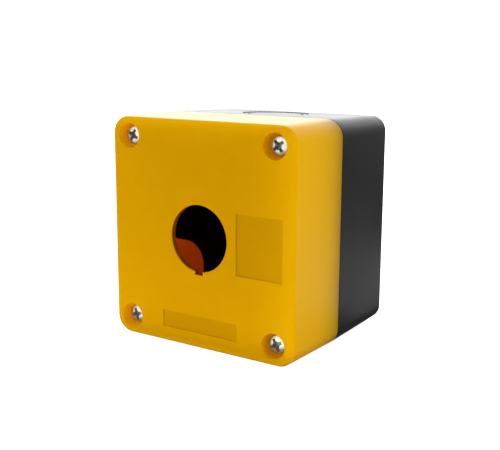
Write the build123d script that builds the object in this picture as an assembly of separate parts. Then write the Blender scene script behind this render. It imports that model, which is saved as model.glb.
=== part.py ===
"""One-hole push-button station enclosure: yellow cover, black base, captive screws.

Millimetres. X is the width, left to right as seen from the front. Y is the depth, from the
cover's face at the front (-Y) to the wall face at the back (+Y). Z is up. The origin is at
the middle of the box's footprint, on the surface that the box stands on.
"""
from build123d import *
import os

# ---- the box ---------------------------------------------------------------------------
width = 73.0                 # outside width at the joint between cover and base
height = 76.0                # outside height at the joint
cover_depth = 29.0
base_depth = 34.0
cover_draft = 0.3            # degrees, each side narrows away from the joint
base_draft = 1.5
corner_r = 6.0               # the four long corners
face_edge_r = 1.4            # rounding round the cover's face
back_edge_r = 1.0
joint_edge_r = 0.25          # moulded edge on both sides of the joint
panel = 2.0                  # cover's front panel
back_wall = 2.5
side_wall = 3.0              # walls round the inner room
corner_wall = 2.5            # outer walls beside the corner pockets

# ---- the inner room, a cross with a boxed-off pocket in each corner -----------------------
room_half_x = 20.0           # half width of the upright arm
room_half_z = 9.5            # half height of the level arm
room_corner_r = 8.0          # rounded corner of each boxed-off pocket
room_end_r = 1.5
cover_screen = 2.4           # wall between room and pocket, in the cover
base_screen = 3.0            # and in the base, where it carries the gasket
gasket_lip = 0.8             # plastic left beside the gasket groove
gasket_width = 1.4
gasket_depth = 1.5

# ---- the operator hole -------------------------------------------------------------------
operator_r = 22.3 / 2
operator_z = -0.5            # just below the middle of the face
notch_width = 3.2
notch_depth = 1.0
mouth_edge = 0.2             # broken edge round the hole and the screw pockets

# ---- label recesses in the face: centre x, centre z, width, height ------------------------
recesses = [(23.5, -0.7, 17.4, 20.0), (0.0, -29.7, 30.5, 5.8)]
recess_depth = 0.3

# ---- screws, M3.5 x 30 pan head, and what they pass through --------------------------------
screw_x = 29.0
screw_z = 31.4
screw_r = 3.5 / 2
screw_length = 30.0
tip_chamfer = 0.5
head_r = 6.7 / 2
head_height = 2.6
pocket_r = 8.4 / 2           # counterbore in the cover's face
pocket_depth = 4.5
clear_r = 3.9 / 2
nose_wall = 1.4              # plastic round the counterbore, behind the face
column_r = 5.0
column_web = 1.0             # how far the column's web reaches below the screw's level
cross_span = 3.7             # cross recess in the head
cross_slot = 0.85
cross_depth = 1.7
cross_taper = 12.0
cross_cone_r = (0.45, 1.25)  # cone at the middle of the recess, at its floor and at its mouth
head_edge = 0.1              # broken edge under the head
head_straight = 0.9          # height of the head's straight side
head_crown_r = 0.62          # part of the head's radius that its crown covers
head_turns = {"top_left": -27, "top_right": 38, "bottom_left": 16, "bottom_right": 29}

running_gap = 0.05           # shank in ring and insert
ring_r = 0.75                # O-ring's section
ring_chamber_r = 3.6
ring_chamber_length = 8.0
ring_inset = 0.3             # ring's back face inside the cover's rim
insert_r = 4.8 / 2
insert_length = 6.0
insert_inset = 0.5
tip_room = 4.0               # depth left for the screw's tip behind the insert

# ---- wall fixing holes and cable knockouts -------------------------------------------------
wall_hole_r = 4.5 / 2
wall_spacing_x = 30.0
wall_spacing_z = 54.0
knockout_rs = [18.6 / 2, 22.5 / 2]  # full-thickness slugs, each inside its groove
groove_width = 0.8
knockout_web = 0.5
knockout_sunk = 0.2          # slugs lie this much below the wall's surface

# ---- derived places -------------------------------------------------------------------------
depth = cover_depth + base_depth
cut_past = 0.1               # how far a cutter runs past the surface that it opens
front_y = -depth / 2
joint_y = front_y + cover_depth
centre_z = height / 2
floor_depth = depth - back_wall
knockout_y = joint_y + base_depth / 2
sides = {"left": -1, "right": 1}
levels = {"top": 1, "bottom": -1}
corners = {f"{v}_{h}": (sides[h] * screw_x, levels[v] * screw_z) for v in levels for h in sides}


def at_depth(d):
    """Plane at depth d behind the face: local x is +X, local y is +Z, normal points forward."""
    return Plane(origin=(0, front_y + d, centre_z), x_dir=(1, 0, 0), z_dir=(0, -1, 0))


def slab(sketch, d0, d1):
    """A sketch carried straight from depth d0 to depth d1."""
    return extrude(at_depth(d1) * sketch, d1 - d0)


def drafted(d_wide, d_narrow, draft):
    """The box's rounded outline at d_wide, narrowing by the draft towards d_narrow."""
    normal = -1 if d_narrow < d_wide else 1
    start = Plane(origin=(0, front_y + d_wide, centre_z), x_dir=(1, 0, 0), z_dir=(0, normal, 0))
    return extrude(start * RectangleRounded(width, height, corner_r), abs(d_narrow - d_wide), taper=draft)


def room_sketch():
    """The cross-shaped room, with the corners of the boxed-off pockets rounded into it."""
    reach_x = width / 2 - side_wall
    reach_z = height / 2 - side_wall
    arms = Rectangle(2 * reach_x, 2 * room_half_z) + Rectangle(2 * room_half_x, 2 * reach_z)
    rounded = fillet([v for v in arms.vertices() if abs(v.X) < reach_x - 1 and abs(v.Y) < reach_z - 1],
                     room_corner_r)
    ends = [v for v in rounded.vertices() if abs(v.X) > reach_x - 1 or abs(v.Y) > reach_z - 1]
    return fillet(ends, room_end_r)


def pocket_sketch(room, screen, nose_r):
    """The four corner pockets: what is left beside the room's walls and the screw columns."""
    inside = RectangleRounded(width - 2 * corner_wall, height - 2 * corner_wall, corner_r - corner_wall)
    web_height = height / 2 - screw_z + column_web
    pockets = inside - offset(room, screen)
    for x, z in corners.values():
        web_z = (height / 2 - web_height / 2) * (1 if z > 0 else -1)
        side_x = (width / 2 - (width / 2 - screw_x) / 2) * (1 if x > 0 else -1)
        pockets -= Pos(0, web_z) * Rectangle(width, web_height)
        pockets -= Pos(side_x, z) * Rectangle(width / 2 - screw_x, 2 * nose_r)
        pockets -= Pos(x, z) * Circle(nose_r)
    return pockets


def rods(radius, d0, d1):
    """A round rod at each screw, from depth d0 to depth d1."""
    return [slab(Pos(x, z) * Circle(radius), d0, d1) for x, z in corners.values()]


def make_cover(room):
    body = drafted(cover_depth, 0, cover_draft)
    body = fillet(body.faces().sort_by(Axis.Y)[0].edges(), face_edge_r)
    body = fillet(body.faces().sort_by(Axis.Y)[-1].edges(), joint_edge_r)
    body -= slab(room, panel, cover_depth)
    nose_depth = pocket_depth + panel
    body -= slab(pocket_sketch(room, cover_screen, pocket_r + nose_wall), panel, nose_depth)
    body -= slab(pocket_sketch(room, cover_screen, column_r), nose_depth, cover_depth)
    body -= rods(pocket_r, 0, pocket_depth)
    body -= rods(clear_r, pocket_depth, cover_depth)
    body -= rods(ring_chamber_r, cover_depth - ring_chamber_length, cover_depth)
    notch = Pos(0, -operator_r) * Rectangle(notch_width, 2 * notch_depth)
    body -= slab(Pos(0, operator_z) * (Circle(operator_r) + notch), 0, panel)
    mouths = [wire.edges() for wire in body.faces().sort_by(Axis.Y)[0].inner_wires()]
    body = chamfer([edge for mouth in mouths for edge in mouth], mouth_edge)
    for x, z, w, h in recesses:
        body -= slab(Pos(x, z) * Rectangle(w, h), 0, recess_depth)
    return body


def base_block():
    return drafted(cover_depth, depth, base_draft)


def make_base(room):
    body = base_block()
    body = fillet(body.faces().sort_by(Axis.Y)[-1].edges(), back_edge_r)
    body = fillet(body.faces().sort_by(Axis.Y)[0].edges(), joint_edge_r)
    body -= slab(room, cover_depth, floor_depth)
    body -= slab(pocket_sketch(room, base_screen, column_r), cover_depth, floor_depth)
    body -= slab(gasket_sketch(room), cover_depth, cover_depth + gasket_depth)
    insert_end = cover_depth + insert_inset + insert_length
    body -= rods(insert_r, cover_depth, insert_end)
    body -= rods(clear_r, cover_depth, insert_end + tip_room)
    fixings = GridLocations(wall_spacing_x, wall_spacing_z, 2, 2)
    body -= [slab(place * Circle(wall_hole_r), floor_depth, depth) for place in fixings]
    return body


def gasket_sketch(room):
    return offset(room, gasket_lip + gasket_width) - offset(room, gasket_lip)


def split_knockouts(body):
    """Cut the two rings of each knockout into the base and part the slugs from it."""
    pieces = {}
    wall_z = height / 2 - side_wall
    for name, up in levels.items():
        wall = Plane(origin=(0, knockout_y, centre_z + up * wall_z), z_dir=(0, 0, up))
        below_surface = Pos(0, 0, -up * knockout_sunk) * base_block()
        inner_r = 0
        for slug, radius in zip(("disc", "ring"), knockout_rs):
            outer_r = radius + groove_width
            groove = Circle(outer_r) - Circle(radius)
            body -= extrude(wall.offset(knockout_web) * groove, 2 * side_wall)
            plug = Circle(outer_r) - Circle(inner_r) if inner_r else Circle(outer_r)
            cutter = extrude(wall.offset(-cut_past) * plug, 2 * side_wall)
            pieces[f"{name}_knockout_{slug}"] = body & cutter & below_surface
            body -= cutter
            inner_r = outer_r
    return body, pieces


def make_screw(x, z, turn):
    """Pan-head screw with a cross recess, its head on the floor of the pocket."""
    crown = Bezier((head_r, head_straight), (head_r, head_height - head_edge),
                   (head_r * head_crown_r, head_height), (0, head_height))
    outline = Polyline((0, head_height), (0, 0), (head_r - head_edge, 0), (head_r, head_edge),
                       (head_r, head_straight))
    head = revolve(Plane.XZ * make_face(crown + outline), Axis.Z)
    shank = Pos(0, 0, -screw_length / 2) * Cylinder(screw_r, screw_length)
    shank = chamfer(shank.edges().sort_by(Axis.Z)[0], tip_chamfer)
    cross = Rectangle(cross_span, cross_slot) + Rectangle(cross_slot, cross_span)
    recess = extrude(Pos(0, 0, head_height) * cross, -cross_depth, taper=cross_taper)
    recess += Pos(0, 0, head_height - cross_depth / 2) * Cone(*cross_cone_r, cross_depth)
    body = Rot(0, 0, turn) * (head + shank - recess)
    seat = Plane(origin=(x, front_y + pocket_depth, centre_z + z), x_dir=(1, 0, 0), z_dir=(0, -1, 0))
    return seat * body


def make_ring(x, z):
    """O-ring on the shank, in its chamber behind the screw's shoulder."""
    middle = at_depth(cover_depth - ring_inset - ring_r)
    return middle * Pos(x, z, 0) * Torus(screw_r + running_gap + ring_r, ring_r)


def make_insert(x, z):
    start = cover_depth + insert_inset
    tube = Circle(insert_r) - Circle(screw_r + running_gap)
    return slab(Pos(x, z) * tube, start, start + insert_length)


room = room_sketch()
parts = {"cover": make_cover(room)}
parts["base"], slugs = split_knockouts(make_base(room))
parts["cover_gasket"] = slab(gasket_sketch(room), cover_depth, cover_depth + gasket_depth)
parts.update(slugs)
for corner, (x, z) in corners.items():
    parts[f"{corner}_screw"] = make_screw(x, z, head_turns[corner])
    parts[f"{corner}_retaining_ring"] = make_ring(x, z)
    parts[f"{corner}_insert"] = make_insert(x, z)

os.makedirs("parts", exist_ok=True)
for name, shape in parts.items():
    export_step(shape, f"parts/{name}.step")
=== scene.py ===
# %% [markdown]
# # A push-button station box, finished in Blender
#
# The object is the empty housing of a street or machine push button: a yellow cover with one
# round hole, a black base behind it, and four bright screws in pockets at the corners. The CAD
# model gives every piece its size and place. This file gives them their finish, and rebuilds
# the pieces that need finer shape than CAD gave them: the screws with their threads and cross
# recesses, the knurled inserts, the O-rings and the gasket cord.
#
# The first cell loads the CAD model as a fixed frame, and keeps its box from the start. Its
# box is kept from the start, because the finished model has to stay inside it.

# %% Load the frame and keep its box
import bpy
from math import cos, pi, radians, sin
from mathutils import Matrix, Vector


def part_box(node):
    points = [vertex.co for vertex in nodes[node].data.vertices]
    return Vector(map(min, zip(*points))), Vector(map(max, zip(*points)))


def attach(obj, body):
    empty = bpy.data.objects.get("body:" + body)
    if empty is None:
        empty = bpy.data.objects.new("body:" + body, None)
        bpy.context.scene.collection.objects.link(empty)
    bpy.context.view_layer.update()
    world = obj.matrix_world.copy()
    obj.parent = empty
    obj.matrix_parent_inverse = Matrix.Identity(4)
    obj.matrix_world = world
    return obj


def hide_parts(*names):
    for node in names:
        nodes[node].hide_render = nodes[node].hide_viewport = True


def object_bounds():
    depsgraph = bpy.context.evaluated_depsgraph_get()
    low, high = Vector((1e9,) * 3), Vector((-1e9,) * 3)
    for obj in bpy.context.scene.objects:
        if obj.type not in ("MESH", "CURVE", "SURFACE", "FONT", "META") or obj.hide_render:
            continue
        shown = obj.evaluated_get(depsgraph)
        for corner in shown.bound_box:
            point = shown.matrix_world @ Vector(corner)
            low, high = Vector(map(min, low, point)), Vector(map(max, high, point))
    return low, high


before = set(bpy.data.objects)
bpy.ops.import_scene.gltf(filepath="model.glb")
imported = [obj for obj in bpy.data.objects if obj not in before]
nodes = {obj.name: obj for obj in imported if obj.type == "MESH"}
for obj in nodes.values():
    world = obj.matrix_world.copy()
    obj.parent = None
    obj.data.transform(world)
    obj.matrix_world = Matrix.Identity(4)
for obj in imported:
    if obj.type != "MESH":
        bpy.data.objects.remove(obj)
cad_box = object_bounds()
scene = bpy.context.scene
MM = 0.001
print("CAD box, mm:", [[round(v / MM, 2) for v in corner] for corner in cad_box])

# %% [markdown]
# The finishes depend on how far a point is from the face, the joint or an edge. Those places
# could be typed in, but would be wrong after a change to the CAD model, so they are read from
# the frame. The face is the side towards -Y, X runs to the right and Z up.

# %% Places read from the frame
corners = ["top_left", "top_right", "bottom_left", "bottom_right"]
cover_low, cover_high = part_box("cover")
face_y = cover_low.y
joint_y = cover_high.y
back_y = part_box("base")[1].y
middle = (Vector(cad_box[0]) + Vector(cad_box[1])) / 2
half_width = (cad_box[1][0] - cad_box[0][0]) / 2
half_height = (cad_box[1][2] - cad_box[0][2]) / 2
print("face, joint and back at, mm:", [round(y / MM, 2) for y in (face_y, joint_y, back_y)])

# %% [markdown]
# ## The camera comes first
#
# The box is a hand's breadth from the lens, so its perspective is strong: the far edges
# shrink quickly. A camera that is told where to aim, from what side, how high and how far,
# is easy to read and to change. `to_track_quat` turns those into a rotation, and a small roll
# about the view axis finishes it.

# %% Camera
view_azimuth = radians(34.10)
view_elevation = radians(11.35)
view_roll = radians(0.29)
view_distance = 306.1 * MM
view_lens = 62.26
sensor_width = 36
nearest_seen = 10 * MM
aim = middle + Vector((-0.7, -0.6, -1.0)) * MM

camera = bpy.data.objects.new("camera", bpy.data.cameras.new("camera"))
scene.collection.objects.link(camera)
scene.camera = camera
camera.data.lens = view_lens
camera.data.sensor_width = sensor_width
camera.data.clip_start = nearest_seen
level_reach = cos(view_elevation)
back = Vector((sin(view_azimuth) * level_reach, -cos(view_azimuth) * level_reach, sin(view_elevation)))
roll = Matrix.Rotation(view_roll, 3, "Z").to_quaternion()
camera.location = aim + back * view_distance
camera.rotation_mode = "QUATERNION"
camera.rotation_quaternion = (-back).to_track_quat("-Z", "Y") @ roll
print("camera at, mm:", [round(v / MM, 1) for v in camera.location])

# %% [markdown]
# ## Helpers for node trees
#
# Shader trees and geometry trees are built the same way: make a node, set its options, then
# fill each input with a number or with another node's output. `put` does that in one call,
# `wire` fills the inputs of a node that is there already, and `calc` makes a Math node, whose
# inputs all share one name and so go by order. An underscore stands for a space in a name.

# %% Node helpers
def fill(tree, socket, value):
    if isinstance(value, bpy.types.NodeSocket):
        tree.links.new(value, socket)
    else:
        socket.default_value = value


def wire(tree, node, **inputs):
    for name, value in inputs.items():
        fill(tree, node.inputs[name.replace("_", " ")], value)


def put(tree, kind, options=None, **inputs):
    made = tree.nodes.new(kind)
    for name, value in (options or {}).items():
        setattr(made, name, value)
    wire(tree, made, **inputs)
    return made


def calc(tree, operation, *values):
    made = tree.nodes.new("ShaderNodeMath")
    made.operation = operation
    for socket, value in zip(made.inputs, values):
        fill(tree, socket, value)
    return made.outputs[0]


def new_group(kind, name, inputs, outputs):
    """A node group with named sockets. Returns the tree and its input and output nodes."""
    tree = bpy.data.node_groups.new(name, kind)
    for socket_name, socket_type, default in inputs:
        socket = tree.interface.new_socket(socket_name, in_out="INPUT", socket_type=socket_type)
        if default is not None:
            socket.default_value = default
    for socket_name, socket_type in outputs:
        tree.interface.new_socket(socket_name, in_out="OUTPUT", socket_type=socket_type)
    return tree, tree.nodes.new("NodeGroupInput"), tree.nodes.new("NodeGroupOutput")


print("node helpers: fill, wire, put, calc, new_group")

# %% [markdown]
# A few more helpers measure what several trees need: a point's place, its distance from an
# axis, and a noise about one half turned into a value about a base. They could be written
# out where they are used, but then one would be changed and the others forgotten.

# %% Measuring helpers
def object_place(tree):
    return put(tree, "ShaderNodeTexCoord").outputs["Object"]


def mesh_point(tree):
    """X, Y and Z of each point of a mesh."""
    position = put(tree, "GeometryNodeInputPosition").outputs[0]
    return put(tree, "ShaderNodeSeparateXYZ", Vector=position).outputs


def vector(tree, **parts):
    return put(tree, "ShaderNodeCombineXYZ", **parts).outputs[0]


def length(tree, offset):
    return put(tree, "ShaderNodeVectorMath", {"operation": "LENGTH"}, Vector=offset).outputs["Value"]


def swing(tree, noise, base, spread):
    """The base where the noise is one half, and more or less of it to each side."""
    return calc(tree, "MULTIPLY_ADD", calc(tree, "SUBTRACT", noise, 0.5), spread, base)


print("measuring helpers: object_place, mesh_point, vector, length, swing")

# %% [markdown]
# ## Finishes that more than one material shares
#
# Moulded plastic copies the steel of its mould. A spark-eroded mould leaves a fine, even
# grain, and the plastic's flow leaves faint clouds in gloss and tone. Both the yellow and the
# black moulding have them, so they are one node group, `moulded skin`, with a value for each.
# The pattern is made of noise in Object coordinates, in metres, so its grain has a real size:
# the scale of a noise is one over the size of its blobs.

# %% Moulded skin group
skin_inputs = [
    ("Grain Size", "NodeSocketFloat", 0.3), ("Cloud Size", "NodeSocketFloat", 14.0),
    ("Base Roughness", "NodeSocketFloat", 0.4), ("Roughness Spread", "NodeSocketFloat", 0.06),
]
skin_outputs = [(name, "NodeSocketFloat") for name in ("Height", "Roughness", "Cloud")]


def make_moulded_skin():
    tree, group_in, result = new_group("ShaderNodeTree", "moulded skin", skin_inputs, skin_outputs)
    given = group_in.outputs
    place = object_place(tree)
    grain_scale = calc(tree, "DIVIDE", 1 / MM, given["Grain Size"])
    cloud_scale = calc(tree, "DIVIDE", 1 / MM, given["Cloud Size"])
    grain = put(tree, "ShaderNodeTexNoise", Vector=place, Scale=grain_scale, Detail=2.0, Roughness=0.55)
    cloud = put(tree, "ShaderNodeTexNoise", Vector=place, Scale=cloud_scale, Detail=3.0, Roughness=0.5)
    dullness = swing(tree, cloud.outputs["Fac"], given["Base Roughness"], given["Roughness Spread"])
    wire(tree, result, Height=grain.outputs["Fac"], Roughness=dullness, Cloud=cloud.outputs["Fac"])
    return tree


moulded_skin = make_moulded_skin()
print("group:", moulded_skin.name, "with", len(moulded_skin.nodes), "nodes")

# %% [markdown]
# Metal small parts are tumbled and plated, so they carry short fine scratches in every
# direction and a slight mottle. Two stretched noises, turned against each other, give the
# scratches. The same group serves the zinc screws and the brass inserts.

# %% Tumbled metal group
metal_inputs = [
    ("Scratch Size", "NodeSocketFloat", 0.08), ("Mottle Size", "NodeSocketFloat", 0.9),
    ("Base Roughness", "NodeSocketFloat", 0.25), ("Roughness Spread", "NodeSocketFloat", 0.15),
]
metal_outputs = [(name, "NodeSocketFloat") for name in ("Height", "Roughness", "Mottle")]
scratch_turns = (0.4, 1.9)
scratch_stretch = (0.12, 1.0, 1.0)


def make_tumbled_metal():
    tree, group_in, result = new_group("ShaderNodeTree", "tumbled metal", metal_inputs, metal_outputs)
    given = group_in.outputs
    place = object_place(tree)
    scratch_scale = calc(tree, "DIVIDE", 1 / MM, given["Scratch Size"])
    mottle_scale = calc(tree, "DIVIDE", 1 / MM, given["Mottle Size"])
    layers = []
    for turn in scratch_turns:
        turned = put(tree, "ShaderNodeMapping", Vector=place, Rotation=(turn, turn / 2, turn),
                     Scale=scratch_stretch)
        layer = put(tree, "ShaderNodeTexNoise", Vector=turned.outputs[0], Scale=scratch_scale, Detail=1.0)
        layers.append(layer.outputs["Fac"])
    mottle = put(tree, "ShaderNodeTexNoise", Vector=place, Scale=mottle_scale, Detail=3.0).outputs["Fac"]
    dullness = swing(tree, mottle, given["Base Roughness"], given["Roughness Spread"])
    wire(tree, result, Height=calc(tree, "ADD", layers[0], layers[1]), Roughness=dullness, Mottle=mottle)
    return tree


tumbled_metal = make_tumbled_metal()
print("group:", tumbled_metal.name, "with", len(tumbled_metal.nodes), "nodes")

# %% [markdown]
# ## Starting a material
#
# Every material here is one Principled BSDF with a skin in front of it, so the start is a
# function. The bump takes the skin's height over a real depth. Displacement would move the
# surface, but so fine a grain needs more mesh than it is worth.

# %% Start of a material
def new_material(name):
    """A material with a Principled BSDF. Returns the material, its tree and that shader."""
    made = bpy.data.materials.new(name)
    made.use_nodes = True
    tree = made.node_tree
    return made, tree, next(n for n in tree.nodes if n.type == "BSDF_PRINCIPLED")


def place_group(tree, group, **values):
    return put(tree, "ShaderNodeGroup", {"node_tree": group}, **values)


def bump(tree, shader, height, strength, depth_mm):
    made = put(tree, "ShaderNodeBump", Strength=strength, Distance=depth_mm * MM, Height=height)
    fill(tree, shader.inputs["Normal"], made.outputs["Normal"])


def blend(tree, factor, first, second, mode="MIX"):
    """A colour mix; its colour sockets are numbered because every data type has an A and a B."""
    made = put(tree, "ShaderNodeMix", {"data_type": "RGBA", "blend_type": mode})
    for socket, value in zip((made.inputs[0], made.inputs[6], made.inputs[7]), (factor, first, second)):
        fill(tree, socket, value)
    return made.outputs[2]


def clamped(tree, value):
    return put(tree, "ShaderNodeClamp", Value=value).outputs[0]


print("material helpers: new_material, place_group, bump, blend, clamped")

# %% [markdown]
# Both plastics look nearly matt from the front and glossy at a low angle, more than the
# shader does by itself. A Layer Weight says how far the surface leans away, and the gloss
# starts beyond a threshold. It is placed in each material, because it depends on the view.

# %% Sheen at a low angle
sheen_slope = 2.4


def edge_sheen(tree, threshold, rise, least):
    """Least gloss where the surface faces the viewer, rising where it leans away."""
    facing = put(tree, "ShaderNodeLayerWeight", Blend=0.5).outputs["Facing"]
    leaning = clamped(tree, calc(tree, "MULTIPLY_ADD", facing, sheen_slope, -threshold))
    return calc(tree, "MULTIPLY_ADD", leaning, rise, least)


print("sheen is full after a lean of", round(1 / sheen_slope, 2), "past its threshold")

# %% [markdown]
# ## Yellow cover plastic
#
# The cover is a signal yellow ABS, a little translucent: thin edges glow, and hollows such as
# the screw pockets turn warmer, because red light travels furthest in it. Subsurface
# scattering with a longer radius for red gives some of this. Light that has come through a
# whole wall is more than it can follow, so those places also get a painted tone and a weak
# painted glow of their own. The lighter edges, the darker band by the joint and the dark wall
# of the hole are painted light and shade in the colour as well. First come the tones, then
# how far each one reaches.

# %% Tones of the yellow
yellow = (0.62, 0.305, 0.0005, 1)
yellow_pale = (0.66, 0.335, 0.0010, 1)
# painted light: the lighter yellow where light leaves the walls near the edges
painted_edge_light_yellow = (0.86, 0.47, 0.0010, 1)
# painted shade: the darker yellow by the joint with the black base
painted_joint_shade = (0.36, 0.20, 0.004, 1)
# painted glow: the redder tone of the room behind the panel, lit through the walls
painted_room_glow_orange = (0.62, 0.190, 0.0005, 1)
# painted glow: the warmer, lighter tone in the screw pockets
painted_pocket_glow_tone = (0.76, 0.370, 0.0010, 1)
# painted shade: the dark red wall of the hole
painted_hole_wall_shade = (0.28, 0.080, 0.002, 1)
# colours of the painted glow given off by the room and by the pockets
inner_light = (1.0, 0.115, 0.004, 1)
pocket_light = (1.0, 0.49, 0.0, 1)
gloss_tint = (1.0, 0.55, 0.02, 1)
field_shade = (0.86, 0.86 * 0.98, 1, 1)
print("the yellow and its pale form:", yellow[:3], yellow_pale[:3])

# %% Reaches and glows
edge_reach_mm = 9.0
joint_reach_mm = 7.0
seep_reach_mm = 26.0
seep_strength = 0.25
pocket_glow_strength = 0.16
pocket_glow_lean = 0.05
field_dullness = 0.15
soft_edge_mm = 0.15
print("edges are paler over", edge_reach_mm, "mm, the joint darker over", joint_reach_mm, "mm")

# %% [markdown]
# A mask is 1 in a region and 0 outside it. A painted one needs an unwrapped mesh, and the
# cover is a plain box of known sizes, so each mask is worked out from a point's place: a slab
# across one axis with a soft edge, or a value that fades from an edge.

# %% Masks across one axis
def inside_mask(tree, value, centre, size):
    """1 in a slab round the centre, as wide as size. Both are in millimetres, value in metres."""
    offset = calc(tree, "ABSOLUTE", calc(tree, "SUBTRACT", value, centre * MM))
    room = calc(tree, "SUBTRACT", size / 2 * MM, offset)
    return clamped(tree, calc(tree, "MULTIPLY_ADD", room, 1 / (soft_edge_mm * MM), 0.5))


def fade(tree, value, edge, reach_mm):
    """1 at minus or plus edge, fading inwards to 0.37 within the reach."""
    inward = calc(tree, "SUBTRACT", edge, calc(tree, "ABSOLUTE", value))
    return calc(tree, "EXPONENT", calc(tree, "MULTIPLY", inward, -1 / (reach_mm * MM)))


def edge_light(tree, x, z):
    """Painted light in the colour: light that enters the side walls leaves near the edges, most on the
    right.
    """
    lit_side = calc(tree, "MULTIPLY_ADD", x, 0.4 / half_width, 0.6)
    across = calc(tree, "MULTIPLY", lit_side, fade(tree, x, half_width, edge_reach_mm))
    along = fade(tree, z, half_height, edge_reach_mm / 3)
    return clamped(tree, calc(tree, "MAXIMUM", across, along))


def near_joint(tree, y):
    """1 at the joint with the base, fading towards the face: the reach of the painted shade there."""
    reach = joint_reach_mm * MM
    return clamped(tree, calc(tree, "EXPONENT", calc(tree, "MULTIPLY_ADD", y, 1 / reach, -joint_y / reach)))


print("masks: inside_mask, fade, edge_light, near_joint")

# %% [markdown]
# The two label fields are where a legend and a name would go. They are darker and duller than
# the rest of the face. Each is a slab in X times a slab in Z, and only just behind the face.

# %% Label fields
label_fields = {"legend": (23.5, -0.7, 17.4, 20.0), "name": (0.0, -29.7, 30.5, 5.8)}
field_depth_mm = 0.6


def label_mask(tree, x, y, z):
    fields = 0.0
    for centre_x, centre_z, width, height in label_fields.values():
        across = inside_mask(tree, x, centre_x, width)
        along = inside_mask(tree, z, centre_z, height)
        fields = calc(tree, "ADD", fields, calc(tree, "MULTIPLY", across, along))
    at_face = calc(tree, "LESS_THAN", y, face_y + field_depth_mm * MM)
    return calc(tree, "MULTIPLY", fields, at_face)


print("label fields, centre and size in mm:", label_fields)

# %% [markdown]
# Three hollows are warmer than the face, by painted light and shade: a painted glow in the room
# behind the panel and in the four screw pockets, and a dark red painted shade on the wall of
# the hole. The room is a box that starts behind the panel. The hole and the
# pockets are round, so their masks compare the distance from an axis with a radius. With X
# and Z made positive, one axis stands for all four pockets.

# %% Masks of the hollows
hole_centre_z_mm = -0.5
hole_r_mm = 11.15
hole_margin_mm = 1.2
screw_place_mm = (29.0, 31.4)
pocket_r_mm = 4.4
panel_mm = 1.9
panel_fade_mm = 1.5
outer_skin_mm = 2.0
rim_mm = 0.35


def hollow_masks(tree, x, y, z):
    """Masks of the room's walls, the wall of the hole, and the screw pockets, for their painted glow and
    painted shade.
    """
    start, reach = face_y + panel_mm * MM, panel_fade_mm * MM
    behind = clamped(tree, calc(tree, "MULTIPLY_ADD", y, 1 / reach, -start / reach))
    wide = inside_mask(tree, x, 0.0, 2 * half_width / MM - 2 * outer_skin_mm)
    high = inside_mask(tree, z, 0.0, 2 * half_height / MM - 2 * outer_skin_mm)
    room = calc(tree, "MULTIPLY", behind, calc(tree, "MULTIPLY", wide, high))

    off_x = calc(tree, "SUBTRACT", calc(tree, "ABSOLUTE", x), screw_place_mm[0] * MM)
    off_z = calc(tree, "SUBTRACT", calc(tree, "ABSOLUTE", z), screw_place_mm[1] * MM)
    from_screw = length(tree, vector(tree, X=off_x, Y=off_z))
    room = calc(tree, "MULTIPLY", room, calc(tree, "GREATER_THAN", from_screw, pocket_r_mm * MM))

    below = calc(tree, "GREATER_THAN", y, face_y + rim_mm * MM)
    from_hole = length(tree, vector(tree, X=x, Y=calc(tree, "SUBTRACT", z, hole_centre_z_mm * MM)))
    near_hole = calc(tree, "LESS_THAN", from_hole, (hole_r_mm + hole_margin_mm) * MM)
    in_pocket = calc(tree, "LESS_THAN", from_screw, pocket_r_mm * MM)
    return room, calc(tree, "MULTIPLY", near_hole, below), calc(tree, "MULTIPLY", in_pocket, below)


print("hollows: room, hole of radius", hole_r_mm, "mm, pockets of radius", pocket_r_mm, "mm")

# %% [markdown]
# The tones are laid over each other like coats of paint, the widest first: the clouded skin,
# the painted light at the edges, the painted shade by the joint, the label fields, the painted
# glow of the pockets and of the room, and last the painted shade on the wall of the hole. The
# painted glow of the emission follows the masks of the hollows.

# %% Yellow plastic
def yellow_tone(tree, cloud, x, y, z, fields, hollows):
    room, hole_wall, pocket = hollows
    tone = blend(tree, cloud, yellow, yellow_pale)
    # painted light at the edges
    tone = blend(tree, edge_light(tree, x, z), tone, painted_edge_light_yellow)
    # painted shade by the joint
    tone = blend(tree, near_joint(tree, y), tone, painted_joint_shade)
    tone = blend(tree, fields, tone, field_shade, "MULTIPLY")
    # painted glow of the pockets
    tone = blend(tree, pocket, tone, painted_pocket_glow_tone)
    # painted glow of the room
    tone = blend(tree, room, tone, painted_room_glow_orange)
    # painted shade on the wall of the hole
    return blend(tree, hole_wall, tone, painted_hole_wall_shade)


def yellow_glow(tree, x, room, pocket):
    """The strength of a painted glow that stands in for light that has come through a wall."""
    seep = calc(tree, "MULTIPLY", seep_strength, fade(tree, x, half_width, seep_reach_mm))
    pocket_glow = calc(tree, "MULTIPLY_ADD", x, -pocket_glow_lean / half_width, pocket_glow_strength)
    return calc(tree, "MULTIPLY_ADD", pocket, pocket_glow, calc(tree, "MULTIPLY", room, seep))


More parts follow.
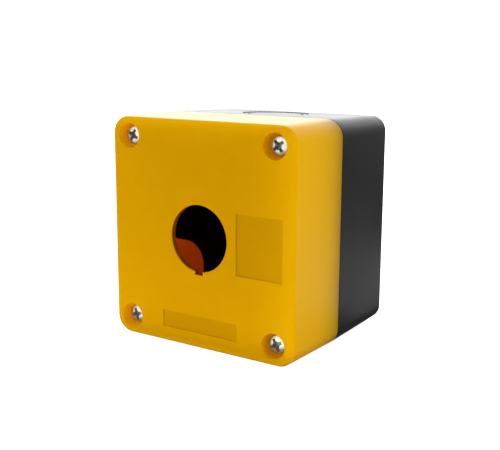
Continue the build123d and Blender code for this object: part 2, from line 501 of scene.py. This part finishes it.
def make_yellow():
    made, tree, shader = new_material("yellow cover plastic")
    skin = place_group(tree, moulded_skin, Grain_Size=0.35, Cloud_Size=16.0,
                       Base_Roughness=0.42, Roughness_Spread=0.1)
    place = put(tree, "ShaderNodeSeparateXYZ", Vector=object_place(tree))
    x, y = place.outputs["X"], place.outputs["Y"]
    z = calc(tree, "SUBTRACT", place.outputs["Z"], middle.z)
    fields = label_mask(tree, x, y, z)
    room, hole_wall, pocket = hollow_masks(tree, x, y, z)
    tone = yellow_tone(tree, skin.outputs["Cloud"], x, y, z, fields, (room, hole_wall, pocket))
    rough = calc(tree, "MULTIPLY_ADD", fields, field_dullness, skin.outputs["Roughness"])
    wire(tree, shader, Base_Color=tone, Roughness=rough, Specular_Tint=gloss_tint,
         Specular_IOR_Level=edge_sheen(tree, threshold=0.92, rise=0.65, least=0.0),
         Emission_Color=blend(tree, pocket, inner_light, pocket_light),
         Emission_Strength=yellow_glow(tree, x, room, pocket),
         Subsurface_Weight=0.6, Subsurface_Radius=(1.0, 0.35, 0.03), Subsurface_Scale=3.5 * MM)
    bump(tree, shader, skin.outputs["Height"], strength=0.35, depth_mm=0.012)
    return made


yellow_plastic = make_yellow()
print(yellow_plastic.name, "has", len(yellow_plastic.node_tree.nodes), "nodes")

# %% [markdown]
# ## Black base plastic
#
# The base and its knockouts are one black compound with the same mould grain. Little of a
# black surface shows but its gloss, so the clouds go into its roughness more than its colour.

# %% Black plastic
black = (0.011, 0.011, 0.012, 1)
black_pale = (0.018, 0.018, 0.020, 1)


def make_black():
    made, tree, shader = new_material("black base plastic")
    skin = place_group(tree, moulded_skin, Grain_Size=0.4, Cloud_Size=20.0,
                       Base_Roughness=0.45, Roughness_Spread=0.16)
    wire(tree, shader, Base_Color=blend(tree, skin.outputs["Cloud"], black, black_pale),
         Specular_IOR_Level=edge_sheen(tree, threshold=1.0, rise=0.55, least=0.06),
         Roughness=skin.outputs["Roughness"])
    bump(tree, shader, skin.outputs["Height"], strength=0.5, depth_mm=0.02)
    return made


black_plastic = make_black()
print(black_plastic.name, "has", len(black_plastic.node_tree.nodes), "nodes")

# %% [markdown]
# ## Metals and rubbers
#
# The screws are zinc plated and the inserts turned from brass. Both are one function, given a
# dark and a light colour for the mottle. The inside of a cross recess gets a painted shade,
# darker and duller than the head round it, as little light gets in. A second material on those
# faces would have a hard edge, so the lathe stores an attribute, `recess`, on the points
# inside, and the material reads it.
# The gasket's foam and the O-rings share a function too: coarse and dull, or fine and smoother.

# %% Metals and rubbers
# painted shade inside a cross recess: its colour, and how much less metal it is
painted_recess_shade = (0.26, 0.285, 0.245, 1)
painted_recess_shade_strength = 0.85


def make_metal(name, dark, light, roughness, spread):
    made, tree, shader = new_material(name)
    surface = place_group(tree, tumbled_metal, Base_Roughness=roughness, Roughness_Spread=spread)
    plated = blend(tree, surface.outputs["Mottle"], dark, light)
    recess = put(tree, "ShaderNodeAttribute", {"attribute_name": "recess"}).outputs["Fac"]
    # painted shade in the cross recess: darker grey and less metal
    wire(tree, shader, Base_Color=blend(tree, recess, plated, painted_recess_shade),
         Roughness=surface.outputs["Roughness"],
         Metallic=calc(tree, "MULTIPLY_ADD", recess, -painted_recess_shade_strength, 1.0))
    bump(tree, shader, surface.outputs["Height"], strength=0.25, depth_mm=0.01)
    return made


def make_rubber(name, dark, light, grain_mm, roughness):
    made, tree, shader = new_material(name)
    skin = place_group(tree, moulded_skin, Grain_Size=grain_mm, Cloud_Size=5.0,
                       Base_Roughness=roughness, Roughness_Spread=0.1)
    wire(tree, shader, Base_Color=blend(tree, skin.outputs["Height"], dark, light),
         Roughness=skin.outputs["Roughness"])
    bump(tree, shader, skin.outputs["Height"], strength=0.6, depth_mm=0.05)
    return made


zinc = make_metal("bright zinc plate", (0.44, 0.44, 0.40, 1), (0.68, 0.67, 0.61, 1),
                  roughness=0.36, spread=0.16)
brass = make_metal("turned brass", (0.55, 0.38, 0.13, 1), (0.80, 0.58, 0.25, 1),
                   roughness=0.3, spread=0.2)
foam_rubber = make_rubber("foam rubber cord", (0.012, 0.012, 0.012, 1), (0.05, 0.05, 0.05, 1),
                          grain_mm=0.5, roughness=0.85)
ring_rubber = make_rubber("O-ring rubber", (0.010, 0.010, 0.010, 1), (0.02, 0.02, 0.02, 1),
                          grain_mm=0.8, roughness=0.5)
print("materials:", [m.name for m in bpy.data.materials])

# %% [markdown]
# ## Pieces that keep their CAD shape
#
# The cover, the base and the knockouts are mouldings that CAD has drawn in full. Modelling
# them again would gain nothing, so only their material changes.

# %% Paint the moulded pieces
def paint(name, material):
    node = nodes[name]
    node.data.materials.clear()
    node.data.materials.append(material)


paint("cover", yellow_plastic)
paint("base", black_plastic)
for level in ("top", "bottom"):
    for slug in ("disc", "ring"):
        paint(f"{level}_knockout_{slug}", black_plastic)
print("painted black:", [n for n in nodes if black_plastic.name in nodes[n].data.materials])

# %% [markdown]
# ## A lathe in Geometry Nodes
#
# Screws, inserts and O-rings are all turned or moulded round, so one tree makes them all. It
# is given a profile, a row of points with the radius as X and the height as Z, and spins it.
# Its lengths are in metres. A depth or span that is left at zero leaves its feature out.

# %% The lathe's inputs
lathe_inputs = [
    ("Profile", "NodeSocketGeometry", None), ("Steps Around", "NodeSocketInt", 64),
    ("Thread Pitch", "NodeSocketFloat", 0.6 * MM), ("Thread Depth", "NodeSocketFloat", 0.0),
    ("Thread From", "NodeSocketFloat", 0.0), ("Thread To", "NodeSocketFloat", 0.0),
    ("Knurl Count", "NodeSocketFloat", 24.0), ("Knurl Depth", "NodeSocketFloat", 0.0),
    ("Knurl Above Radius", "NodeSocketFloat", 0.0),
    ("Recess Span", "NodeSocketFloat", 0.0), ("Recess Slot", "NodeSocketFloat", 0.0),
    ("Recess Depth", "NodeSocketFloat", 0.0), ("Recess Top", "NodeSocketFloat", 0.0),
    ("Turn", "NodeSocketFloat", 0.0), ("Place", "NodeSocketVector", (0, 0, 0)),
    ("Material", "NodeSocketMaterial", None),
]
geometry_out = [("Geometry", "NodeSocketGeometry")]
print("the lathe has", len(lathe_inputs), "inputs")

# %% [markdown]
# A thread and a knurl only change the radius, the thread by height and angle together, the
# knurl by angle alone. Both are a triangle wave that is taken off the profile's radius, the
# thread between two heights and the knurl outside a radius, so the bore stays smooth.

# %% Thread and knurl
def triangle_wave(tree, phase):
    """0 at a whole number of turns, 1 half way between."""
    saw = calc(tree, "FRACT", phase)
    return calc(tree, "SUBTRACT", 1.0, calc(tree, "ABSOLUTE", calc(tree, "MULTIPLY_ADD", saw, 2.0, -1.0)))


def thread_cut(tree, given, height, turns):
    pitches = calc(tree, "DIVIDE", height, given["Thread Pitch"])
    wave = triangle_wave(tree, calc(tree, "SUBTRACT", pitches, turns))
    above = calc(tree, "GREATER_THAN", height, given["Thread From"])
    below = calc(tree, "LESS_THAN", height, given["Thread To"])
    depth = calc(tree, "MULTIPLY", calc(tree, "MULTIPLY", above, below), given["Thread Depth"])
    return calc(tree, "MULTIPLY", depth, wave)


def knurl_cut(tree, given, radius, turns):
    ridge = triangle_wave(tree, calc(tree, "MULTIPLY", turns, given["Knurl Count"]))
    outside = calc(tree, "GREATER_THAN", radius, given["Knurl Above Radius"])
    return calc(tree, "MULTIPLY", calc(tree, "MULTIPLY", outside, given["Knurl Depth"]), ridge)


print("cuts in the radius: thread, knurl")

# %% [markdown]
# A grid has one column for each step round and one row for each profile point, and every grid
# point looks its own profile point up with Sample Index. Merging by distance closes the seam
# and the poles. A Screw modifier would spin a profile too, but it can't knurl it.
#
# A screw's profile goes from the top, outwards and down. In a tube's, the bore goes up and the
# outside down. Either way the outside runs downwards, and the faces point out of the metal.
# A profile that runs the other way gives a piece that is inside out.

# %% Spin a profile
closing_distance = 0.002 * MM


def profile_point(tree, given, row):
    """The radius and height of a row of the profile."""
    position = put(tree, "GeometryNodeInputPosition").outputs[0]
    point = put(tree, "GeometryNodeSampleIndex", {"data_type": "FLOAT_VECTOR", "domain": "POINT"},
                Geometry=given["Profile"], Value=position, Index=row)
    sampled = put(tree, "ShaderNodeSeparateXYZ", Vector=point.outputs[0])
    return sampled.outputs["X"], sampled.outputs["Z"]


def spin_profile(tree, given):
    """The grid that becomes the surface of revolution."""
    size = put(tree, "GeometryNodeAttributeDomainSize", {"component": "MESH"}, Geometry=given["Profile"])
    rows = size.outputs["Point Count"]
    columns = calc(tree, "ADD", given["Steps Around"], 1)
    grid = put(tree, "GeometryNodeMeshGrid", Vertices_X=columns, Vertices_Y=rows)
    index = put(tree, "GeometryNodeInputIndex").outputs[0]
    column = calc(tree, "FLOOR", calc(tree, "DIVIDE", calc(tree, "ADD", index, 0.5), rows))
    row = calc(tree, "SUBTRACT", index, calc(tree, "MULTIPLY", column, rows))
    turns = calc(tree, "DIVIDE", column, given["Steps Around"])

    profile_radius, height = profile_point(tree, given, row)
    radius = calc(tree, "SUBTRACT", profile_radius, thread_cut(tree, given, height, turns))
    radius = calc(tree, "SUBTRACT", radius, knurl_cut(tree, given, profile_radius, turns))
    angle = calc(tree, "MULTIPLY", turns, 2 * pi)
    place = vector(tree, X=calc(tree, "MULTIPLY", radius, calc(tree, "COSINE", angle)),
                   Y=calc(tree, "MULTIPLY", radius, calc(tree, "SINE", angle)), Z=height)
    spun = put(tree, "GeometryNodeSetPosition", Geometry=grid.outputs["Mesh"], Position=place)
    closed = put(tree, "GeometryNodeMergeByDistance", Geometry=spun.outputs[0], Distance=closing_distance)
    return put(tree, "GeometryNodeFlipFaces", Mesh=closed.outputs[0]).outputs[0]


print("points closer than", closing_distance / MM, "mm become one")

# %% [markdown]
# A cross recess is punched by a tapered tool. Here that is two crossed bars and a cone, joined
# by a boolean and then narrowed downwards. The bars stand a little past the cone at both
# ends, so that no two faces lie in one plane, which booleans dislike.

# %% The recess tool
bar_overshoot = 1.02
cone_sink = 0.499
cone_top_share = 0.30
cone_bottom_share = 0.16
tool_taper = 0.25


def recess_cone(tree, given):
    depth, span = given["Recess Depth"], given["Recess Span"]
    cone = put(tree, "GeometryNodeMeshCone", {"fill_type": "NGON"}, Vertices=24, Depth=depth,
               Radius_Top=calc(tree, "MULTIPLY", span, cone_top_share),
               Radius_Bottom=calc(tree, "MULTIPLY", span, cone_bottom_share))
    down = vector(tree, Z=calc(tree, "MULTIPLY", depth, -cone_sink))
    return put(tree, "GeometryNodeTransform", Geometry=cone.outputs["Mesh"], Translation=down).outputs[0]


def narrowed(tree, given, tool):
    """The tool with its lower end narrower, lifted to the top of the head."""
    here = mesh_point(tree)
    half_depth = calc(tree, "MULTIPLY", given["Recess Depth"], 0.5)
    low = calc(tree, "DIVIDE", calc(tree, "SUBTRACT", half_depth, here["Z"]), given["Recess Depth"])
    width = calc(tree, "MULTIPLY_ADD", low, -tool_taper, 1.0)
    lift = calc(tree, "SUBTRACT", given["Recess Top"], half_depth)
    shape = vector(tree, X=calc(tree, "MULTIPLY", here["X"], width),
                   Y=calc(tree, "MULTIPLY", here["Y"], width), Z=calc(tree, "ADD", here["Z"], lift))
    return put(tree, "GeometryNodeSetPosition", Geometry=tool, Position=shape).outputs[0]


def recess_tool(tree, given):
    span, slot = given["Recess Span"], given["Recess Slot"]
    joined = put(tree, "GeometryNodeMeshBoolean", {"operation": "UNION", "solver": "EXACT"})
    for across, along in ((span, slot), (slot, span)):
        tall = calc(tree, "MULTIPLY", given["Recess Depth"], bar_overshoot)
        bar = put(tree, "GeometryNodeMeshCube", Size=vector(tree, X=across, Y=along, Z=tall))
        tree.links.new(bar.outputs["Mesh"], joined.inputs["Mesh 2"])
    tree.links.new(recess_cone(tree, given), joined.inputs["Mesh 2"])
    return narrowed(tree, given, joined.outputs["Mesh"])


print("recess tool: two bars and a cone, narrower by", tool_taper, "at its end")

# %% [markdown]
# The tool is taken away from the head with a boolean. The exact solver is slower than the fast
# one and copes with the many thin faces of a turned head. It leaves a few tiny edges, and a
# second merge by distance removes them. Then the points inside the recess are marked.

# %% Cut and mark the recess
mark_below_mm = 0.4


def with_recess(tree, given, body):
    """The body with its recess, or as it is where the recess has no span."""
    cut = put(tree, "GeometryNodeMeshBoolean", {"operation": "DIFFERENCE", "solver": "EXACT"})
    tree.links.new(body, cut.inputs["Mesh 1"])
    tree.links.new(recess_tool(tree, given), cut.inputs["Mesh 2"])
    clean = put(tree, "GeometryNodeMergeByDistance", Geometry=cut.outputs["Mesh"], Distance=closing_distance)
    has_recess = put(tree, "FunctionNodeCompare", {"operation": "GREATER_THAN"}, A=given["Recess Span"])
    choice = put(tree, "GeometryNodeSwitch", {"input_type": "GEOMETRY"}, Switch=has_recess.outputs[0],
                 **{"False": body, "True": clean.outputs[0]})
    return choice.outputs[0]


def mark_recess(tree, given, geometry):
    """Stores 1 on points inside the recess, so that the metal can get its painted shade there."""
    here = mesh_point(tree)
    radius = length(tree, vector(tree, X=here["X"], Y=here["Y"]))
    ceiling = calc(tree, "SUBTRACT", given["Recess Top"], mark_below_mm * MM)
    near = calc(tree, "LESS_THAN", radius, calc(tree, "MULTIPLY", given["Recess Span"], 0.5))
    low = calc(tree, "LESS_THAN", here["Z"], ceiling)
    high = calc(tree, "GREATER_THAN", here["Z"], 0.0)
    inside = calc(tree, "MULTIPLY", near, calc(tree, "MULTIPLY", low, high))
    stored = put(tree, "GeometryNodeStoreNamedAttribute", {"data_type": "FLOAT", "domain": "POINT"},
                 Geometry=geometry, Name="recess", Value=inside)
    return stored.outputs[0]


print("a recess is marked from", mark_below_mm, "mm below the top of the head")

# %% [markdown]
# The last steps turn the piece about its own axis, lay it from +Z to -Y, which is out of the
# cover's face, and move it to its place. Edges that bend sharply stay crisp and the rest is
# shaded smooth. Both trees of this file end alike, so `close_tree` does that for both.

# %% Lathe tree
crisp_from = radians(35)


def close_tree(tree, geometry, group_in, group_out):
    real = put(tree, "GeometryNodeRealizeInstances", Geometry=geometry)
    finished = put(tree, "GeometryNodeSetMaterial", Geometry=real.outputs[0],
                   Material=group_in.outputs["Material"])
    tree.links.new(finished.outputs[0], group_out.inputs["Geometry"])


def make_lathe():
    tree, group_in, group_out = new_group("GeometryNodeTree", "lathe", lathe_inputs, geometry_out)
    given = group_in.outputs
    piece = mark_recess(tree, given, with_recess(tree, given, spin_profile(tree, given)))
    turned = put(tree, "GeometryNodeTransform", Geometry=piece, Rotation=vector(tree, Z=given["Turn"]))
    laid = put(tree, "GeometryNodeTransform", Geometry=turned.outputs[0], Translation=given["Place"],
               Rotation=(pi / 2, 0, 0))
    smooth = put(tree, "GeometryNodeSetShadeSmooth", Geometry=laid.outputs[0])
    bend = put(tree, "GeometryNodeInputMeshEdgeAngle").outputs["Unsigned Angle"]
    sharp = calc(tree, "GREATER_THAN", bend, crisp_from)
    crisp = put(tree, "GeometryNodeSetShadeSmooth", {"domain": "EDGE"}, Geometry=smooth.outputs[0],
                Selection=sharp, Shade_Smooth=False)
    close_tree(tree, crisp.outputs[0], group_in, group_out)
    return tree


lathe = make_lathe()
print("lathe tree:", len(lathe.nodes), "nodes")

# %% [markdown]
# A tree's inputs live on the modifier under their sockets' identifiers. `grow` looks them up
# by name, sets them before the object is first evaluated, and turns the result into a plain
# mesh, because instances and live modifiers don't leave Blender with the model.

# %% Grow a plain mesh from a tree
def input_identifiers(tree):
    sockets = [item for item in tree.interface.items_tree if item.item_type == "SOCKET"]
    return {socket.name: socket.identifier for socket in sockets if socket.in_out == "INPUT"}


def grow(name, tree, start_mesh, **values):
    maker = bpy.data.objects.new(name + "_maker", start_mesh)
    scene.collection.objects.link(maker)
    modifier = maker.modifiers.new("grow", "NODES")
    modifier.node_group = tree
    identifiers = input_identifiers(tree)
    for key, value in values.items():
        modifier[identifiers[key.replace("_", " ")]] = value
    bpy.context.view_layer.update()
    evaluated = maker.evaluated_get(bpy.context.evaluated_depsgraph_get())
    mesh = bpy.data.meshes.new_from_object(evaluated, preserve_all_data_layers=True,
                                           depsgraph=bpy.context.evaluated_depsgraph_get())
    bpy.data.objects.remove(maker)
    piece = bpy.data.objects.new(name, mesh)
    scene.collection.objects.link(piece)
    mesh.name = name
    return piece


print("identifiers of the lathe's inputs:", len(input_identifiers(lathe)))

# %% [markdown]
# A profile is a mesh of bare points. Its rounded parts are arcs, which are stated by their
# centre, radius and angles, the way they would be on a drawing.

# %% Profiles and arcs
def profile_mesh(points):
    """Points of a profile, radius and height in millimetres, as a mesh of vertices."""
    made = bpy.data.meshes.new("profile")
    made.from_pydata([(r * MM, 0, h * MM) for r, h in points], [], [])
    return made


def arc(centre_r, centre_h, radius, start, end, steps):
    """Points on an arc, angles in degrees from the outward direction towards up."""
    turns = [radians(start + (end - start) * i / steps) for i in range(steps + 1)]
    return [(centre_r + radius * cos(t), centre_h + radius * sin(t)) for t in turns]


print("a quarter of a circle:", [(round(r, 2), round(h, 2)) for r, h in arc(0, 0, 1, 0, 90, 3)])

# %% [markdown]
# ## Cover screws
#
# Four M3.5 pan-head screws hold the cover. The profile runs from the middle of the head's top,
# over its domed edge, under the head and down the shank to the tip. The shank's rows are a
# sixth of a pitch apart, so that the thread has its slopes. Z points out of the head here.

# %% The screw's profile
head_r = 3.35
head_height = 2.6
dome = ((0.0, 0.0), (0.33, 0.04), (0.62, 0.17), (0.80, 0.38))  # share of the radius, drop in mm
dome_edge_r = 0.75
dome_edge_drop = 1.15
under_edge_r = 0.14
shank_r = 1.74
neck = ((0.25, 0.0), (0.04, -0.06), (-0.02, -0.25))  # added to the shank's radius, height
screw_length = 30.0
thread_pitch = 0.6
thread_depth = 0.34
thread_length = 22.0
rows_per_pitch = 6


def screw_profile():
    points = [(head_r * share, head_height - drop) for share, drop in dome]
    points += arc(head_r - dome_edge_r, head_height - dome_edge_drop, dome_edge_r, start=62, end=0, steps=6)
    points += [(head_r, under_edge_r + 0.02)]
    points += arc(head_r - under_edge_r, under_edge_r, under_edge_r, start=0, end=-90, steps=3)
    points += [(shank_r + wider, height) for wider, height in neck]
    rows = int((screw_length - 1.0) / (thread_pitch / rows_per_pitch))
    points += [(shank_r, -0.4 - i * thread_pitch / rows_per_pitch) for i in range(rows)]
    points += [(shank_r - 0.1, -screw_length + 0.45), (shank_r - 0.5, -screw_length), (0.0, -screw_length)]
    return profile_mesh(points)


print("points in the screw's profile:", len(screw_profile().vertices))

# %% [markdown]
# The heads lie at different angles, as screws do once they are tight. One mesh could be
# shared and each object turned, but here the turn is one more input of the lathe.

# %% Screws
head_turns = {"top_left": -27, "top_right": 38, "bottom_left": 16, "bottom_right": 29}
recess_span = 4.3
recess_slot = 1.1
recess_depth = 2.0
bare_tip = 0.3


def seat_of(corner):
    """Where the screw's axis meets the floor of its pocket."""
    low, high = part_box(f"{corner}_screw")
    return Vector(((low.x + high.x) / 2, high.y - screw_length * MM, (low.z + high.z) / 2))


for corner in corners:
    screw = grow(
        f"{corner}_cover_screw", lathe, screw_profile(), Steps_Around=48, Thread_Pitch=thread_pitch * MM,
        Thread_Depth=thread_depth * MM, Thread_From=(-screw_length + bare_tip) * MM,
        Thread_To=(-screw_length + thread_length) * MM, Recess_Span=recess_span * MM,
        Recess_Slot=recess_slot * MM, Recess_Depth=recess_depth * MM, Recess_Top=head_height * MM,
        Turn=radians(head_turns[corner]), Place=seat_of(corner), Material=zinc,
    )
    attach(screw, f"{corner}_screw")
    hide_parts(f"{corner}_screw")
    print(screw.name, "triangles:", sum(len(p.vertices) - 2 for p in screw.data.polygons))

# %% [markdown]
# ## Inserts and O-rings
#
# A brass insert is a turned tube with a knurl that grips the plastic. Both its ends have the
# same collar and groove, so one list of steps serves for both. It only shows when the cover is
# off. An O-ring is a circle spun by the same lathe. A torus would need a tree of its own.

# %% Profiles of insert and O-ring
bore_r = 1.8
bore_chamfer = 0.25
collar = ((0.0, 0.2), (0.2, 0.02), (0.9, 0.02), (1.0, 0.25), (1.3, 0.25), (1.4, 0.0))  # from the end, cut


def insert_profile(low, high):
    """A tube with a collar at each end. Its back end is at height 0."""
    outer, long = (high.x - low.x) / 2 / MM, (high.y - low.y) / MM
    bore = [(bore_r, 0.0), (bore_r, long - bore_chamfer), (bore_r + bore_chamfer, long)]
    front = [(outer - cut, long - from_end) for from_end, cut in collar]
    rear = [(outer - cut, from_end) for from_end, cut in reversed(collar)]
    return profile_mesh(bore + front + rear + bore[:1])


def ring_profile(low, high):
    thick = (high.y - low.y) / 2 / MM
    outer = (high.x - low.x) / 2 / MM
    return profile_mesh(arc(outer - thick, thick, thick, start=180, end=-180, steps=24))


print("an insert's collar and groove end", collar[-1][0], "mm from its end")

# %% Inserts and O-rings
knurl_count = 32.0
knurl_depth = 0.12
knurl_above_r = 2.39

for corner in corners:
    for kind, profile, body, slot, material, knurl in (
        ("insert", insert_profile, "box_base", "brass", brass, knurl_depth),
        ("retaining_ring", ring_profile, f"{corner}_ring", "ring_rubber", ring_rubber, 0.0),
    ):
        low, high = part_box(f"{corner}_{kind}")
        foot = Vector(((low.x + high.x) / 2, high.y, (low.z + high.z) / 2))
        piece = grow(f"{corner}_{kind}_turned", lathe, profile(low, high), Steps_Around=96,
                     Knurl_Count=knurl_count, Knurl_Depth=knurl * MM,
                     Knurl_Above_Radius=knurl_above_r * MM, Place=foot, Material=material)
        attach(piece, body)
        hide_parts(f"{corner}_{kind}")
        print(piece.name, "faces:", len(piece.data.polygons))

# %% [markdown]
# ## Gasket cord
#
# A soft foam cord lies in a groove round the mouth of the base, and the cover squeezes it. It
# follows a cross, because each screw has its own dry corner outside it. The twelve corners of
# that cross are the start mesh. The tree turns them into a curve, rounds its corners, tightly
# at the ends of the arms and widely in between, and sweeps a rounded section along it. A bevel
# on a curve object would do the same, but its corners would have to be drawn by hand.

# %% Cord tree
cord_inputs = [
    ("Route", "NodeSocketGeometry", None), ("End Bend", "NodeSocketFloat", 3.0 * MM),
    ("Inner Bend", "NodeSocketFloat", 6.5 * MM), ("Width", "NodeSocketFloat", 1.4 * MM),
    ("Height", "NodeSocketFloat", 1.5 * MM), ("Material", "NodeSocketMaterial", None),
]
corners_per_quarter = 3.0
section_softness = 0.36


def bend_radius(tree, given):
    """Of each three corners, the one between two arms is the second, and has the wide bend."""
    order = calc(tree, "MODULO", put(tree, "GeometryNodeInputIndex").outputs[0], corners_per_quarter)
    between_arms = calc(tree, "COMPARE", order, 1.0, 0.1)
    extra = calc(tree, "SUBTRACT", given["Inner Bend"], given["End Bend"])
    return calc(tree, "MULTIPLY_ADD", between_arms, extra, given["End Bend"])


def make_cord_tree():
    tree, group_in, group_out = new_group("GeometryNodeTree", "seated cord", cord_inputs, geometry_out)
    given = group_in.outputs
    line = put(tree, "GeometryNodeMeshToCurve", Mesh=given["Route"])
    rounded = put(tree, "GeometryNodeFilletCurve", {"mode": "POLY"}, Curve=line.outputs[0], Count=10,
                  Radius=bend_radius(tree, given))
    section = put(tree, "GeometryNodeCurvePrimitiveQuadrilateral", Width=given["Width"],
                  Height=given["Height"])
    softened = put(tree, "GeometryNodeFilletCurve", {"mode": "POLY"}, Curve=section.outputs[0], Count=5,
                   Radius=calc(tree, "MULTIPLY", given["Width"], section_softness))
    swept = put(tree, "GeometryNodeCurveToMesh", Curve=rounded.outputs[0], Profile_Curve=softened.outputs[0])
    smooth = put(tree, "GeometryNodeSetShadeSmooth", Geometry=swept.outputs[0])
    close_tree(tree, smooth.outputs[0], group_in, group_out)
    return tree


seated_cord = make_cord_tree()
print("cord tree:", len(seated_cord.nodes), "nodes")

# %% [markdown]
# The route comes from the gasket's box in the frame, less half the cord's width. The cord is
# made a little smaller than its seat, so that it never shows through the plastic.

# %% Gasket
arm_half_mm = (21.5, 11.0)
narrower_than_high_mm = 0.1
seat_play_mm = 0.04


def gasket_route(low, high, width):
    """The cross, clockwise: the end of an arm, the corner between two arms, the end of the next."""
    reach_x, reach_z = (high.x - low.x - width) / 2, (high.z - low.z - width) / 2
    arm_x, arm_z = arm_half_mm[0] * MM, arm_half_mm[1] * MM
    centre = (low + high) / 2
    quarter = [(arm_x, reach_z), (arm_x, arm_z), (reach_x, arm_z)]
    flat = []
    for sign_x, sign_z in ((1, 1), (1, -1), (-1, -1), (-1, 1)):
        ordered = quarter if sign_x == sign_z else quarter[::-1]
        flat += [(sign_x * x, sign_z * z) for x, z in ordered]
    made = bpy.data.meshes.new("route")
    made.from_pydata([centre + Vector((x, 0, z)) for x, z in flat],
                     [(i, (i + 1) % len(flat)) for i in range(len(flat))], [])
    return made


cord_low, cord_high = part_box("cover_gasket")
cord_height = cord_high.y - cord_low.y
cord_width = cord_height - narrower_than_high_mm * MM
gasket = grow("gasket_cord", seated_cord, gasket_route(cord_low, cord_high, cord_width),
              Width=cord_width - seat_play_mm * MM, Height=cord_height - seat_play_mm * MM,
              Material=foam_rubber)
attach(gasket, "box_base")
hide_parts("cover_gasket")
print(gasket.name, "faces:", len(gasket.data.polygons))

# %% [markdown]
# ## Stage and light
#
# The box stands on white paper with no visible end. Real paper goes grey where the lamps don't
# reach it, and more lamps would flatten the box. So the floor adds its own light, for the
# camera alone: somewhat less near the box, where its shadow falls, and more further out, up
# to the white of the world behind it. The box doesn't mirror the floor.

# %% Floor
floor_reach = 6.0
floor_tone = (0.85, 0.85, 0.85, 1)
glow_at_box = 0.84
glow_rise_per_metre = 1.2
camera_white = 1.05


def make_floor():
    made, tree, shader = new_material("studio floor")
    rising = calc(tree, "MULTIPLY_ADD", length(tree, object_place(tree)), glow_rise_per_metre, glow_at_box)
    seen = put(tree, "ShaderNodeLightPath").outputs["Is Camera Ray"]
    glow = calc(tree, "MULTIPLY", calc(tree, "MINIMUM", rising, camera_white), seen)
    wire(tree, shader, Base_Color=floor_tone, Roughness=0.9, Specular_IOR_Level=0.0,
         Emission_Color=(1, 1, 1, 1), Emission_Strength=glow)
    mesh = bpy.data.meshes.new("floor")
    outline = [(x * floor_reach, y * floor_reach, 0) for x, y in ((-1, -1), (1, -1), (1, 1), (-1, 1))]
    mesh.from_pydata(outline, [], [(0, 1, 2, 3)])
    mesh.materials.append(made)
    floor = bpy.data.objects.new("floor", mesh)
    scene.collection.objects.link(floor)
    return floor


floor = make_floor()
floor.visible_glossy = False
print("floor:", 2 * floor_reach, "m square, glow near the box", glow_at_box)

# %% [markdown]
# A large soft box in front and to the left lights the face. A panel on the right lights the
# side, and a soft box overhead fills in. The wide panel behind and to the left is what the
# top mirrors towards the camera, so it gives the top its white gloss. Two small lamps just
# above the floor shine straight up, for the light that paper throws back: one in front of the
# face and one beside the base.

# %% Lights
bounce_height = 0.003


def area_light(name, place, look_at, width, height, power):
    light = bpy.data.lights.new(name, "AREA")
    light.shape = "RECTANGLE"
    light.size, light.size_y, light.energy = width, height, power
    made = bpy.data.objects.new(name, light)
    scene.collection.objects.link(made)
    made.location = place
    made.rotation_mode = "QUATERNION"
    made.rotation_quaternion = (Vector(look_at) - Vector(place)).to_track_quat("-Z", "Y")
    made.visible_camera = False
    return made


def floor_bounce(name, x, y, **size_and_power):
    return area_light(name, (x, y, bounce_height), (x, y, 1.0), **size_and_power)


area_light("front_left_softbox", (-0.22, -0.72, 0.12), middle, width=1.3, height=1.0, power=7.2)
floor_bounce("front_bounce", 0.0, -0.058, width=0.09, height=0.045, power=0.0085)
area_light("right_panel", (0.62, 0.06, 0.20), middle, width=0.5, height=0.4, power=1.75)
floor_bounce("right_bounce", 0.085, 0.080, width=0.09, height=0.12, power=0.022)
area_light("back_panel", (-0.50, 0.80, 0.30), middle, width=1.8, height=0.7, power=15.0)
area_light("top_softbox", (0.0, 0.1, 0.8), middle, width=0.6, height=0.6, power=3.0)

# %% [markdown]
# The world is white to the camera and nearly dark as a light, so that the lamps shape the box.
# The Standard view shows colours as they are computed.

# %% World
world_fill = 0.08

world = bpy.data.worlds.new("studio")
scene.world = world
world.use_nodes = True
sky = world.node_tree.nodes["Background"]
sky.inputs["Color"].default_value = (1, 1, 1, 1)
path = put(world.node_tree, "ShaderNodeLightPath").outputs["Is Camera Ray"]
strength = calc(world.node_tree, "MULTIPLY_ADD", path, camera_white - world_fill, world_fill)
fill(world.node_tree, sky.inputs["Strength"], strength)
scene.view_settings.view_transform = "Standard"
scene.view_settings.look = "None"
print("world:", world_fill, "as light,", camera_white, "to the camera")
